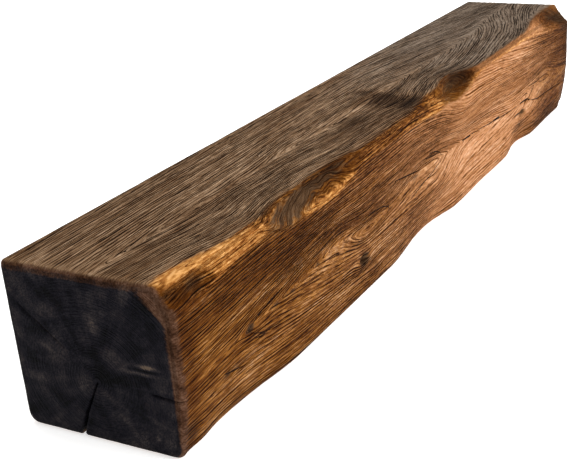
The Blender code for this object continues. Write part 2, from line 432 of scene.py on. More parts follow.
# %% Knots and the field
# (along, behind the front, up, reach along, reach across, reach up, pull, parting)
KNOTS = (
    (0.606, 0.000, 0.142, 0.052, 0.030, 0.032, 0.000, 0.40),
    (0.508, 0.040, 0.155, 0.044, 0.022, 0.030, 0.016, 0.45),
    (0.036, -0.002, 0.138, 0.022, 0.014, 0.012, 0.006, 0.30),
    (0.112, -0.002, 0.068, 0.020, 0.014, 0.007, 0.003, 0.45),
    (0.336, -0.002, 0.068, 0.034, 0.014, 0.010, 0.008, 0.00),
    (0.326, -0.002, 0.039, 0.020, 0.014, 0.009, 0.006, 0.65),
    (0.350, -0.002, 0.022, 0.020, 0.014, 0.008, 0.003, 0.30),
    (0.957, -0.002, 0.080, 0.040, 0.020, 0.016, 0.012, 0.40),
    (0.843, -0.002, 0.040, 0.030, 0.016, 0.012, 0.005, 0.60),
    (1.010, 0.010, 0.150, 0.040, 0.024, 0.030, 0.012, 0.30),
)


def wood_field(u, y, z, over_facet, roundness):
    """Distance across the grain in metres, as level lines on the surface.

    Each knot's weight is exp(-(distance in reaches)^2). It moves the point towards the
    knot's heart by parting times weight, and takes pull times weight off the result.
    Front and top each measure from their own heart line. The sawn ends (roundness 1)
    measure from the heart of the tree, so that they show true rings. The chamfer cuts
    across the rings, so it adds a rise of its width times (1 - share over it) squared. The
    arches on it are the root of (run / stretch)^2 + fall^2 + middle^2, with the fall
    measured down the chamfer.
    """
    behind = y + 0.5 * DEPTH
    pulled = np.zeros_like(u)
    seen_y, seen_z = behind, z
    for at, back, high, reach_u, reach_y, reach_z, pull, parting in KNOTS:
        off_y, off_z = behind - back, z - high
        weight = np.exp(-((u - at) / reach_u) ** 2 - (off_y / reach_y) ** 2 - (off_z / reach_z) ** 2)
        seen_y = seen_y - parting * weight * off_y
        seen_z = seen_z - parting * weight * off_z
        pulled = pulled + pull * weight
    front = from_heart(near_heart(seen_z, u, FRONT_HEART), run_along(u, FRONT_DIP))
    front = front + run_along(u, FRONT_SINK) * ease((seen_z - 0.076) / 0.050)
    over = from_heart(near_heart(seen_y, u, TOP_HEART), run_along(u, TOP_DIP))
    sideways = np.abs(y) / (0.5 * DEPTH) - np.abs(2.0 * z / HEIGHT - 1.0)
    front_share = ease(0.5 + sideways / 0.08)
    field = front_share * front + (1.0 - front_share) * over
    field = field + run_along(u, FAR_RISE) * np.exp(-(((HEIGHT - z) / 0.085) ** 2))
    field = field + 0.0030 * value_noise(u / 0.130, y / 0.055, z / 0.055, 21)
    field = field + 0.0009 * value_noise(u / 0.036, y / 0.018, z / 0.018, 22)
    top, drop, hollow = chamfer_at(u)
    beyond = np.maximum(0.0, behind - top) / RISE_REACH
    field = field + FACET_RISE * np.hypot(top, drop) * (1.0 - over_facet) ** 2 * np.exp(-beyond**2)
    at, low, stretch, middle = ARCHES
    fall = HEIGHT - z - behind - low + 0.012 * value_noise(u / 0.017, behind / 0.008, z / 0.008, 23)
    fall = fall + 0.003 * value_noise(u / 0.005, behind / 0.003, z / 0.003, 24)
    arches = ARCH_LEVEL + np.sqrt(((u - at) / stretch) ** 2 + fall**2 + middle**2)
    share = (ease((u - 0.128) / 0.040) * ease((0.335 - u) / 0.050)
             * ease(over_facet / 0.22) * ease((1.0 - over_facet) / 0.20))
    field = field + (arches - field) * share
    true_rings = 1.25 * np.hypot(y - heart_y, z - HEART_UP)
    return field + (true_rings - field) * roundness - pulled


print("knots", len(KNOTS))

# %% [markdown]
# ## Growth rings
#
# Each year adds one ring. The field divided by the spacing counts the rings, and
# two slow waves make some years wide and others narrow. The spacing grows along
# the beam, because the far end was sawn at a flatter angle to the rings.

# %% Rings
# The seen spacing of the rings, from the near end to the far end.
RING_NEAR = 0.0029
RING_FAR = 0.0046

roundness = np.where(shrink < 1.0, 1.0, ease(inset / END_RADIUS * 2.5 - 1.5)) + 0.0 * u
field = wood_field(u, side, up, over_facet, roundness)
ring = RING_NEAR + (RING_FAR - RING_NEAR) * u / LENGTH
ring_count = field / ring + 0.40 * np.sin(field / 0.0093) + 0.15 * np.sin(field / 0.0029 + 1.0)
print("rings from", round(float(ring_count.min()), 1), "to", round(float(ring_count.max()), 1))

# %% [markdown]
# ## Cracks
#
# Cracks follow the grain, so each is a line of points on one face. One more line,
# made in the same way, is no crack: it is the painted shadow under the chamfer's
# lower edge. A vertex stores its signed distance from the nearest crack and that
# crack's half width there. The sign changes across the line, so the distance passes
# through zero between two vertices, and the material can draw a crack finer than
# the grid.

# %% Crack lines and one painted shadow line, in millimetres
# Each line: face, half width, depth, then points in millimetres. On the front they
# are (along, up), on the top (along, behind the front), on the end (behind, up).
CRACK_AND_SHADOW_LINES = (
    ("end", 1.9, 14.0, ((78.5, 57), (84, 46), (93, 28), (99, 14), (103, 3), (105, -4))),
    ("end", 0.7, 3.0, ((27, 56.6), (20, 55.6), (8, 54.4), (0, 53.8))),
    ("end", 0.5, 1.2, ((146, 113), (130, 101), (116, 89), (104, 80))),
    ("front", 0.8, 1.2, ((138, 70.5), (150, 69), (161, 67))),
    ("front", 0.7, 1.0, ((110, 56), (121, 53), (133, 52))),
    ("front", 0.9, 1.2, ((62, 46.5), (76, 42.5), (92, 39.5))),
    ("front", 0.9, 1.0, ((100, 66), (106, 69), (120, 74), (140, 78), (165, 81))),
    ("front", 0.7, 0.8, ((102, 67), (112, 60), (128, 54), (150, 51), (175, 51))),
    ("front", 2.2, 1.5, ((319, 38), (326, 39), (333, 40.5))),
    # Not a crack: this thin dark groove is the painted shadow under the chamfer's lower edge.
    ("front", 0.7, 0.5, ((322, 133.5), (380, 133), (430, 134.5), (490, 133.5), (548, 131))),
    ("front", 1.0, 1.6, ((405, 93), (430, 89.5), (468, 84), (478, 83))),
    ("front", 0.9, 1.4, ((486, 91), (505, 88), (526, 85.5))),
    ("front", 0.9, 1.0, ((538, 79), (531, 74), (510, 69), (478, 64), (446, 58))),
    ("front", 0.9, 1.0, ((498, 93), (516, 91), (532, 86), (538, 79))),
    ("front", 0.8, 0.8, ((372, 64), (384, 68), (388, 72), (376, 77), (352, 80), (322, 80))),
    ("front", 1.5, 3.0, ((604, 75.5), (620, 75), (640, 74), (656, 73))),
    ("front", 1.3, 3.0, ((700, 68), (722, 67), (748, 67))),
    ("front", 0.8, 1.6, ((640, 74), (680, 71), (720, 67), (780, 62), (836, 59))),
    ("front", 1.5, 3.5, ((826, 60), (845, 59), (866, 58), (874, 54), (880, 51))),
    ("front", 1.0, 2.2, ((872, 56), (890, 50), (912, 46), (960, 43), (1046, 38))),
    ("front", 1.3, 2.5, ((798, 47), (820, 47), (846, 46))),
    ("front", 0.8, 1.5, ((860, 75), (905, 72), (960, 73))),
    ("top", 0.8, 1.0, ((470, 41), (492, 37), (515, 35), (545, 34))),
    ("top", 0.6, 0.8, ((60, 38), (95, 36), (128, 36))),
    ("top", 0.6, 0.8, ((150, 96), (200, 93), (236, 94))),
    ("top", 0.5, 0.7, ((330, 66), (380, 63), (430, 64))),
)
CRACK_REACH = 0.0045
print("cracks", len(CRACK_AND_SHADOW_LINES))

# %% [markdown]
# Some cracks turn, so each is a chain of straight pieces. The nearest piece of the
# chain gives the distance, the side and the place along it.

# %% Distance from a crack


def crack_line(first, second, points, half_width):
    """Signed distance from a line, and its half width, thin at both ends.

    Each piece of the line gives the distance to its nearest point, and the sign is
    the side of the piece. The width is a half sine along the line to the power 0.4.
    """
    points = np.array(points) * 0.001
    lengths = np.hypot(*(points[1:] - points[:-1]).T)
    total, done = lengths.sum(), 0.0
    best = np.full(first.shape, 9.0)
    signed, share = best.copy(), np.zeros(first.shape)
    for start, end, length in zip(points[:-1], points[1:], lengths):
        way = (end - start) / length
        ahead = (first - start[0]) * way[0] + (second - start[1]) * way[1]
        aside = (second - start[1]) * way[0] - (first - start[0]) * way[1]
        over = np.maximum(0.0, np.maximum(-ahead, ahead - length))
        distance = np.hypot(aside, over)
        nearer = distance < best
        best = np.where(nearer, distance, best)
        signed = np.where(nearer, np.where(aside < 0.0, -distance, distance), signed)
        share = np.where(nearer, (done + ahead) / total, share)
        done += length
    width = half_width * 0.001 * np.sin(math.pi * np.clip(share, 0.0, 1.0)) ** 0.4
    return signed, width, share


# %% Cracks on the beam
on_end = (shrink < 1.0) & (along < 0.1) | (inset > 0.0) & (along < 0.1)
crack_side = np.full(u.shape, CRACK_REACH)
crack_half = np.zeros(u.shape)
crack_depth = np.zeros(u.shape)
on_face = {"front": side < -0.5 * DEPTH + 0.013 + 0.0 * u, "top": up > HEIGHT - 0.004 + 0.0 * u,
               "end": on_end | (u < 0)}
for face, half_width, depth, points in CRACK_AND_SHADOW_LINES:
    pair = {"front": (u, up), "top": (u, behind), "end": (behind, up)}[face]
    signed, width, share = crack_line(pair[0], pair[1], points, half_width)
    if face == "end" and depth > 5.0:
        width = half_width * 0.001 * (0.18 + 0.82 * np.clip(share, 0.0, 1.0) ** 1.5)
    near = on_face[face] & (np.abs(signed) < np.abs(crack_side)) & (np.abs(signed) < CRACK_REACH)
    fade = ease((CRACK_REACH - np.abs(signed)) / (0.4 * CRACK_REACH))
    open_part = np.maximum(0.0, 1.0 - np.abs(signed) / np.maximum(width + 0.0006, 1e-6))
    deep = depth * 0.001 * open_part * np.minimum(1.0, width / (0.5e-3 * half_width + 1e-9)) * (width > 0)
    crack_side = np.where(near, signed, crack_side)
    crack_half = np.where(near, width * fade, crack_half)
    crack_depth = np.where(near, np.maximum(deep, crack_depth), crack_depth)
print("vertices in cracks", int((np.abs(crack_side) < crack_half).sum()))

# %% [markdown]
# The heart check of the near end runs on into the underside, where it closes
# 55 mm in. It is the notch in the lower edge.

# %% The heart check under the beam
CHECK_RUN = 0.055

notch_half = CRACK_AND_SHADOW_LINES[0][1] * 0.001 * (1.0 - ease(u / CHECK_RUN))
notch_side = side + 0.5 * DEPTH - CHECK_BACK
below = (up < 0.012) & ~on_end & (u < CHECK_RUN) & (np.abs(notch_side) < CRACK_REACH)
crack_side = np.where(below, notch_side, crack_side)
crack_half = np.where(below, notch_half, crack_half)
crack_depth = np.where(below, 0.010 * np.maximum(0.0, 1.0 - np.abs(notch_side) / (notch_half + 0.0006))
                       * (1.0 - u / CHECK_RUN), crack_depth)
print("deepest crack", round(float(crack_depth.max()) * 1000, 1), "mm")

# %% [markdown]
# ## Which finish goes where
#
# The stain took differently on each face: grey-brown on the sawn top, where the
# colour also holds a painted sheen of the light the top reflects, warm on the hewn
# front, amber on the chamfer where the wax was rubbed through and where a painted
# highlight stands for the light its faces and edges catch, and nearly black on the
# thirsty end grain. Knots stay dark. Each is a soft mask on the vertices, made from
# the run of columns a point lies in and its place.

# %% Masks for the stain
def over_columns(first, last, soft_first, soft_last):
    """1 between two columns, easing to 0 over a number of columns outside each."""
    return (ease((column - first + soft_first) / soft_first)
            * ease((last + soft_last - column) / soft_last))


front_part = over_columns(FRONT_START - 5, FOOT_START + 5, 6, 6)
facet_part = over_columns(FACET_START - 1, FRONT_START - 2, 7, 6)
cool_part = 1.0 - over_columns(FACET_START + 2, FOOT_START + 7, 9, 6)

# How amber the chamfer is, from wax rubbed through and from painted highlight
# where its faces and ridges catch the light: along, then at the chamfer's top edge,
# in its middle and at its lower edge.
WORN_AND_HIGHLIGHT = (
    (0.000, 0.40, 0.15, 0.20), (0.018, 1.00, 0.40, 0.25), (0.050, 1.00, 0.42, 0.55),
    (0.070, 0.75, 0.85, 0.85), (0.120, 0.75, 0.90, 0.90), (0.138, 0.65, 0.60, 0.50),
    (0.155, 0.25, 0.15, 0.35), (0.190, 0.55, 0.10, 0.35), (0.210, 0.55, 0.05, 0.60),
    # Above 1 at the lower edge: the painted highlight along the lit ridge there.
    (0.222, 0.10, 0.00, 1.15), (0.270, 0.00, 0.00, 1.30), (0.305, 0.05, 0.10, 1.10),
    (0.340, 0.25, 0.35, 0.60), (0.400, 0.20, 0.36, 0.50), (0.500, 0.22, 0.46, 0.58),
    (0.532, 0.40, 0.95, 0.85), (0.546, 0.25, 0.60, 0.60), (0.558, 0.00, 0.00, 0.10),
    (0.632, 0.00, 0.05, 0.50), (0.656, 0.00, 0.25, 0.75), (0.700, 0.15, 0.45, 0.80),
    (0.850, 0.25, 0.50, 0.75), (0.920, 0.20, 0.35, 0.55), (0.965, 0.10, 0.10, 0.30),
    (1.010, 0.00, 0.00, 0.05), (1.067, 0.00, 0.00, 0.00),
)
worn_and_highlight_table = np.array(WORN_AND_HIGHLIGHT)
shares = (np.maximum(0.0, 1.0 - 2.0 * over_facet), 1.0 - np.abs(2.0 * over_facet - 1.0),
          np.maximum(0.0, 2.0 * over_facet - 1.0))
worn_and_highlight = facet_part * sum(share * np.interp(u, worn_and_highlight_table[:, 0], worn_and_highlight_table[:, 1 + place])
                        for place, share in enumerate(shares))
print("points of the facet worn to amber", int((worn_and_highlight > 0.5).sum()))

# %% [markdown]
# ## The sawn ends
#
# End grain drinks the stain, so the near end is nearly black. Its worn arris stays
# brown, and rubbed places show paler wood. The rays and the old rubbing are soft
# noise round the heart, kept on the vertices beside the other masks.

# %% Masks for the sawn ends
on_cap = np.where(shrink < 1.0, 1.0, 0.0) + 0.0 * u
from_end = np.minimum(along, LENGTH - along)
end_part = np.maximum(on_cap, ease(1.0 - from_end / (0.006 + 0.007 * front_part)))
in_check = np.exp(-(((behind - CHECK_BACK) / 0.004) ** 2))
in_check = in_check * ease(1.0 - up / 0.012) * ease(1.0 - u / 0.020)
roll = np.maximum(np.maximum(on_cap, in_check), ease(2.0 * inset / END_RADIUS - 0.2))

# The black stops short of the top and front arrises, and more so where they meet. A
# half-dark band lies above it, and the foot of the front arris is half dark too.
BLACK_FRONT, BLACK_TOP, BLACK_CORNER, BAND_TOP = 0.0055, 0.1455, 0.034, 0.1482
black = (roll * ease((behind - BLACK_FRONT) / 0.004) * ease((BLACK_TOP - up) / 0.003)
         * ease((behind + HEIGHT - up - BLACK_CORNER) / 0.008))
band = 0.45 * roll * ease((BAND_TOP - up) / 0.0015) * ease((behind - 0.020) / 0.010)
low_front = 0.35 * end_part * ease((0.030 - up) / 0.020) * ease(1.0 - u / 0.020)
end_black = np.maximum(black, np.maximum(band, low_front))

# Paler wood on the near end: behind the front, up, two reaches, strength.
END_PLACES = (
    (0.030, 0.0795, 0.0130, 0.0026, 1.10), (0.036, 0.0732, 0.0140, 0.0022, 1.00),
    (0.030, 0.0762, 0.0120, 0.0012, -0.60), (0.083, 0.0740, 0.0060, 0.0040, 0.35),
    (0.090, 0.0530, 0.0070, 0.0080, 0.40), (0.106, 0.0250, 0.0070, 0.0080, 0.50),
    (0.056, 0.0260, 0.0050, 0.0050, 0.30), (0.027, 0.0170, 0.0020, 0.0025, 0.70),
    (0.110, 0.0920, 0.0100, 0.0060, 0.25), (0.075, 0.1060, 0.0080, 0.0060, 0.25),
    (0.134, 0.0350, 0.0080, 0.0080, 0.30), (0.012, 0.0400, 0.0050, 0.0250, 0.25),
)
ray_angle = np.arctan2(up - HEART_UP, side - heart_y)
ray = 0.35 * value_noise(16.0 * np.cos(ray_angle), 16.0 * np.sin(ray_angle), field / 0.060, 11)
ray = ray + 0.7 * value_noise(behind / 0.020, up / 0.016, 0.0 * u, 12) - 0.03
for back, high, reach_y, reach_z, strength in END_PLACES:
    ray = ray + strength * np.exp(-((behind - back) / reach_y) ** 2 - ((up - high) / reach_z) ** 2)
print("black share of the near end", round(float(end_black[:NEAR_CAP_ROWS].mean()), 2))

# %% [markdown]
# ## Dark, deeper-toned and pale wood, and painted shade
#
# Knots, bruises and damp have darkened the wood in places, and the tone is lower
# in others. Some of these places are painted shade: in the chamfer's scoop, under
# its lower edge and along its upper edge. Each is a soft ball of colour in the
# wood, so it wraps over an arris as it does in real timber, which a mark painted
# on one face wouldn't.

# %% Dark places, deeper-toned places and painted shade, in millimetres
# Dark wood at knots and stains: along, behind the front, up, three reaches, strength.
# The first three, round the chamfer's scoop, are partly knot wood and partly painted
# shade in that hollow.
DARK_PLACES = (
    (628, 14, 146, 32, 16, 12, 0.62), (590, 9, 140, 50, 18, 16, 0.34), (608, 18, 150, 54, 14, 20, 0.24),
    (508, 22, 150, 24, 12, 20, 0.58), (512, 44, 150, 26, 16, 20, 0.66), (517, 66, 150, 18, 14, 20, 0.7),
    (526, 90, 150, 14, 14, 20, 0.56), (484, 40, 150, 20, 20, 20, 0.38),
    (492, 72, 150, 16, 16, 20, 0.36), (470, 20, 150, 30, 10, 20, 0.25), (228, 5, 146, 44, 10, 9, 0.85),
    (285, 5, 147, 36, 10, 9, 0.7), (185, 2, 138, 46, 14, 12, 0.55), (36, 4, 137, 20, 10, 9, 0.72),
    (8, 0, 140, 10, 14, 7, 0.6), (1040, 2, 130, 24, 18, 14, 0.65), (1015, 16, 145, 40, 14, 20, 0.6),
    (1064, 0, 75, 16, 20, 100, 0.45), (990, 0, 12, 80, 20, 12, 0.3), (326, 0, 39, 9, 10, 6, 1.6),
    (352, 0, 24, 8, 10, 6, 0.4), (843, 0, 44, 10, 10, 4, 1.0), (832, 0, 30, 34, 10, 14, 0.45),
    (870, 0, 10, 110, 10, 18, 0.35), (688, 0, 55, 5, 10, 3, 0.5), (178, 0, 70, 6, 10, 3, 0.75),
    (150, 0, 70, 6, 10, 3, 0.6), (227, 0, 76, 7, 10, 3, 0.75), (105, 0, 68, 7, 10, 5, 1.2),
    (68, 0, 43, 12, 10, 3, 0.6), (460, 0, 80, 12, 10, 3, 0.5), (12, 0, 18, 16, 12, 14, 0.6),
    (1020, 100, 150, 50, 30, 20, 0.3), (60, 70, 150, 14, 7, 20, 0.45), (132, 72, 150, 18, 8, 20, 0.45),
    (205, 74, 150, 24, 6, 20, 0.5), (268, 70, 150, 18, 7, 20, 0.45), (340, 68, 150, 20, 8, 20, 0.4),
    (420, 58, 150, 24, 16, 20, 0.4), (240, 152, 150, 230, 14, 20, 0.42),
)
# Places where the tone is lower but the warm hue is kept, listed in the same way.
# Some are painted shade: under the chamfer's lower edge at 350 and 450, in its
# scoop at 645, and along its upper edge at 760 and 930.
DEEP_TONE_AND_SHADE_PLACES = (
    (80, 0, 119, 110, 20, 13, 0.8), (170, 0, 108, 80, 20, 16, 0.45), (1010, 12, 144, 60, 20, 16, 0.85),
    # 350 and 450 here: painted shade under the chamfer's lower edge.
    (450, 0, 124, 70, 10, 7, 0.7), (350, 0, 126, 70, 10, 6, 0.7), (260, 0, 116, 60, 10, 10, 0.5),
    (14, 0, 70, 16, 20, 70, 0.8), (960, 0, 26, 90, 20, 26, 0.85), (1060, 0, 80, 40, 20, 70, 0.5),
    (560, 0, 118, 40, 10, 10, 0.4), (20, 80, 150, 200, 120, 20, 0.2), (430, 4, 145, 110, 12, 10, 1.2),
    # 645: painted shade in the scoop; 760 here and 930 below: painted shade along the chamfer's upper edge.
    (1000, 0, 90, 70, 20, 60, 0.35), (645, 10, 146, 36, 14, 9, 1.1), (760, 6, 149, 130, 6, 4, 1.1),
    (930, 16, 149, 80, 9, 5, 0.9), (880, 0, 10, 120, 10, 22, 0.5),
)


def gather(places):
    """Sum of strength times exp(-(distance in reaches)^2) over the places."""
    total = np.zeros_like(u)
    for at, back, high, reach_u, reach_y, reach_z, strength in places:
        away = (1000.0 * u - at) / reach_u, (1000.0 * behind - back) / reach_y, (1000.0 * up - high) / reach_z
        total = total + strength * np.exp(-sum(part**2 for part in away))
    return total


dark, deep_tone_and_shade = gather(DARK_PLACES), gather(DEEP_TONE_AND_SHADE_PLACES)

# %% [markdown]
# The axe left a ripple on the facet at a quarter of the length: troughs across the
# grain, which lie a little deeper. Painted shade darkens the troughs and a little
# painted light lifts the whole ripple, so it reads as lit crests and shaded
# hollows. The front is paler and pinker beyond its middle, and the top greyer, so
# two more masks drift along the beam.

# %% Ripple and drift of colour
RIPPLE_STEP = 0.0062

ripple = facet_part * ease((u - 0.14) / 0.04) * ease((0.33 - u) / 0.04)
trough = ripple * (0.5 + 0.5 * np.sin(2.0 * math.pi * field / RIPPLE_STEP))
# Painted shade in the troughs, painted light over the ripple.
dark = dark + 0.36 * trough - 0.12 * ripple

pale = front_part * run_along(u, ((0.00, 0.00), (0.25, 0.22), (0.50, 0.45), (0.64, 0.85), (0.80, 0.85),
                                  (0.87, 0.62), (0.93, 0.38), (1.00, 0.14), (1.067, 0.05)))
facet_pale = ease((u - 0.64) / 0.04) * (1.0 - 0.65 * ease((u - 0.92) / 0.06))
pale = np.maximum(pale, 0.75 * facet_part * facet_pale)
grey = cool_part * run_along(u, ((0.00, 0.00), (0.45, 0.10), (0.70, 0.70), (1.067, 0.95)))
print("share of vertices that are dark", round(float((dark > 0.4).mean()), 3))

# %% [markdown]
# ## Relief
#
# Wire brushing takes out the soft early wood, so each ring leaves a shallow
# groove, and the hewn front keeps the slow waves of the axe. The relief only
# goes inwards, so the beam stays inside the solid's box. Real grooves are 0.1 to
# 0.5 mm deep.

# %% Relief of the faces
RING_GROOVE = 0.00030
STREAK_GROOVE = 0.00022
AXE_WAVE = 0.0012
FACET_RIPPLE = 0.00035
TROUGH_DEPTH = 0.0006
END_WAVE = 0.0003
KNOT_ROUGH = 0.0006
KNOT_HOLES = ((0.326, 0.039, 0.0040, 0.006), (0.843, 0.044, 0.0045, 0.009))

place_in_ring = 0.5 * ring_count - np.floor(0.5 * ring_count)
groove = np.exp(-((place_in_ring - 0.5) / 0.16) ** 2)
hop = 0.5 * np.hypot(np.gradient(ring_count, axis=0), np.gradient(ring_count, axis=1))
groove = groove * ease((0.50 - hop) / 0.25)
streak = value_noise(u / 0.090, field / 0.0040, (up - side) / 0.025, 3)
streak = ease((streak - 0.35) / 0.5)
wave = value_noise(u / 0.075 + 4.0, side / 0.030, up / 0.034, 5)
body_part = 1.0 - end_part
sunk = (SKIN + groove * (RING_GROOVE + FACET_RIPPLE * facet_part) * body_part
        + STREAK_GROOVE * streak * body_part + TROUGH_DEPTH * trough
        + AXE_WAVE * wave * front_part * body_part
        + END_WAVE * value_noise(side / 0.012, up / 0.012, u / 0.05, 8) * end_part
        + KNOT_ROUGH * np.minimum(dark, 1.0) * value_noise(u / 0.006, side / 0.004, up / 0.004, 9))
for at, high, size, deep in KNOT_HOLES:
    away = ((u - at) / (1.4 * size)) ** 2 + ((up - high) / size) ** 2
    sunk = sunk + deep * np.exp(-away * away) * front_part
sunk = sunk + crack_depth
print("relief up to", round(float(sunk.max()) * 1000, 1), "mm")

# %% [markdown]
# ## The mesh
#
# The relief moves each vertex against its own normal, which comes from the
# cross product of the two directions of the grid. A ring of quads joins each row
# to the next and a fan of triangles closes each pole, so the surface is shut.

# %% Build the beam
surface = np.stack([x, side, up], axis=-1)
around = np.roll(surface, -1, axis=1) - np.roll(surface, 1, axis=1)
onward = np.gradient(surface, axis=0)
normal = np.cross(around, onward)
normal = normal / np.linalg.norm(normal, axis=-1, keepdims=True)
surface = surface - normal * sunk[..., None]

POLE_DEPTH = 0.0006
poles = []
for row, outward in ((0, -1.0), (-1, 1.0)):
    at = 0.0 if row == 0 else LENGTH
    level = at - 0.5 * LENGTH + float(lean(np.array(at), heart_y, HEART_UP))
    poles.append((level - outward * (SKIN + POLE_DEPTH), heart_y, HEART_UP))
vertices = np.concatenate([surface.reshape(-1, 3), np.array(poles)])

index = np.arange(rows * columns).reshape(rows, columns)
beside = np.roll(index, -1, axis=1)
quads = np.stack([index[:-1], beside[:-1], beside[1:], index[1:]], axis=-1).reshape(-1, 4)
near_fan = np.stack([0 * index[0] + rows * columns, beside[0], index[0]], axis=-1)
far_fan = np.stack([0 * index[-1] + rows * columns + 1, index[-1], beside[-1]], axis=-1)
faces = quads.tolist() + near_fan.tolist() + far_fan.tolist()

mesh = bpy.data.meshes.new("oak_timber")
mesh.from_pydata(vertices.tolist(), [], faces)
mesh.shade_smooth()
timber = bpy.data.objects.new("oak_timber", mesh)
bpy.context.scene.collection.objects.link(timber)
print("faces", len(mesh.polygons), "vertices", len(mesh.vertices))

# %% [markdown]
# ## How bold the ring lines are
#
# The lines on real oak have a width of their own, however far apart they lie. One
# over the slope of the ring count gives the distance between them on the surface.
# It is scaled with the seen spacing, so the lines are as bold at the far end.
# Where they crowd together, or on the amber of rubbed wax and painted highlight,
# they fade.

# %% Spacing and clearness of the lines
slope_on = np.gradient(ring_count, axis=0) / np.linalg.norm(onward, axis=-1)
slope_round = (np.roll(ring_count, -1, 1) - np.roll(ring_count, 1, 1)) / np.linalg.norm(around, axis=-1)
slope = np.maximum(np.hypot(slope_on, slope_round), 60.0)
spacing = 1000.0 / slope * RING_NEAR / ring

arch_away = np.hypot((u - ARCHES[0]) / ARCHES[2], HEIGHT - up - behind - ARCHES[1])
in_ripple = ease((u - 0.14) / 0.03) * ease((0.34 - u) / 0.03)
clear = ease((spacing - 0.5) / 0.9)
for fading in (
        (0.8 - 0.4 * front_part) * ease(1.3 - from_end / 0.008),
        0.8 * facet_part * ease((u - 0.535) / 0.03),
        0.3 * worn_and_highlight,
        0.9 * facet_part * np.exp(-((arch_away / 0.013) ** 4)),
        0.5 * facet_part * in_ripple,
        0.5 * front_part * ease((u - 0.92) / 0.05)):
    clear = clear * (1.0 - fading)
heart_away = np.hypot(side - heart_y, up - HEART_UP)
clear = np.where(on_cap > 0.5, 0.05 + 0.70 * np.exp(-((heart_away / 0.036) ** 2)), clear)
print("ring lines about", round(float(np.median(spacing)), 2), "mm apart")

# %% [markdown]
# ## Values for the material
#
# A material can't read numpy arrays, so each mask is stored on the mesh as a named
# attribute. The grain coordinates run along the beam, across the grain and round
# the beam, so patterns that use them follow the grain, also round the knots.

# %% Store the values


def store(name, kind, field, values):
    """Put one value for each grid point, and the mean of the end rows for the poles."""
    ends = np.stack([values[0].mean(axis=0), values[-1].mean(axis=0)])
    flat = np.concatenate([values.reshape(rows * columns, -1), ends.reshape(2, -1)])
    attribute = mesh.attributes.new(name, kind, "POINT")
    attribute.data.foreach_set(field, flat.astype(np.float32).ravel())


store("grain", "FLOAT_VECTOR", "vector", np.stack([u, field * RING_NEAR / ring, up - side], axis=-1))
ATTRIBUTES = {
    "rings": ring_count, "spacing": spacing, "clear": clear, "cool": cool_part, "worn_and_highlight": worn_and_highlight,
    "dark": dark, "deep_tone_and_shade": deep_tone_and_shade, "pale": pale, "grey": grey, "end_grain": end_part, "end_black": end_black,
    "ray": ray, "crack_side": crack_side, "crack_half": crack_half,
}
for name, values in ATTRIBUTES.items():
    store(name, "FLOAT", "value", values)
print("attributes", sorted(ATTRIBUTES))

# %% [markdown]
# ## Colours
#
# Colours are picked as sRGB hex values, as they look on a screen. The renderer
# works with linear light, so one function converts them. The oak's material is
# made of nodes, which one helper adds and joins. Another adds up chains of them.

# %% Colour and node helpers
oak = bpy.data.materials.new("oiled_oak_brushed")
oak.use_nodes = True
tree = oak.node_tree
tree.nodes.clear()


def linear(code, alpha=1.0):
    """sRGB hex to linear: c / 12.92 below 0.04045, else ((c + 0.055) / 1.055) ^ 2.4."""
    parts = [int(code[place:place + 2], 16) / 255.0 for place in (0, 2, 4)]
    return tuple(part / 12.92 if part <= 0.04045 else ((part + 0.055) / 1.055) ** 2.4
                 for part in parts) + (alpha,)


def add_node(kind, inputs=(), output=0, stops=(), **settings):
    """Add a node to the oak, set it up, join or fill its inputs, and give back one output."""
    node = tree.nodes.new("ShaderNode" + kind)
    for name, value in settings.items():
        setattr(node, name, value)
    for key, value in dict(inputs).items():
        if isinstance(value, bpy.types.NodeSocket):
            tree.links.new(value, node.inputs[key])
        else:
            node.inputs[key].default_value = value
    for number, (place, colour) in enumerate(stops):
        elements = node.color_ramp.elements
        element = elements[number] if number < 2 else elements.new(place)
        element.position = place
        element.color = linear(colour)
    return node.outputs[output] if node.outputs else node


def add_shares(total, shares):
    """total plus the sum of share times pattern, as a chain of multiply-and-add nodes."""
    for pattern, share in shares:
        total = add_node("Math", {0: pattern, 1: share, 2: total}, operation="MULTIPLY_ADD")
    return total


print("mid grey in linear light", round(linear("808080")[0], 3))

# %% [markdown]
# ## Oiled and stained oak
#
# Oak is ring porous: each ring starts with a dark band of open pores and ends
# in dense, pale wood. Brushing opens the pores and the stain fills them, which
# gives the eye broken dark lines along the grain. One tone from 0 (dark) to 1
# (pale) is built from the rings, long streaks, short pores and broad blotches,
# all in grain coordinates. Each face then has its own ramp from tone to colour.

# %% Grain tone
# In grain coordinates: millimetres along, across the grain and round the beam, then
# detail and roughness.
PATTERNS = {
    "streak": ((130.0, 2.4, 20.0), 2.0, 0.5),
    "pore": ((13.0, 0.8, 6.0), 2.0, 0.6),
    "coming": ((64.0, 3.0, 14.0), 2.0, 0.55),
    "broken": ((28.0, 2.0, 10.0), 1.0, 0.5),
}
# In Object coordinates, for what doesn't follow the grain: millimetres in X, Y and Z.
ROUND_MM = {"blotch": (120.0, 16.0, 16.0), "speck": (2.4, 1.5, 1.5), "patch": (20.0, 13.0, 13.0),
            "fleck": (8.0, 2.2, 2.2)}

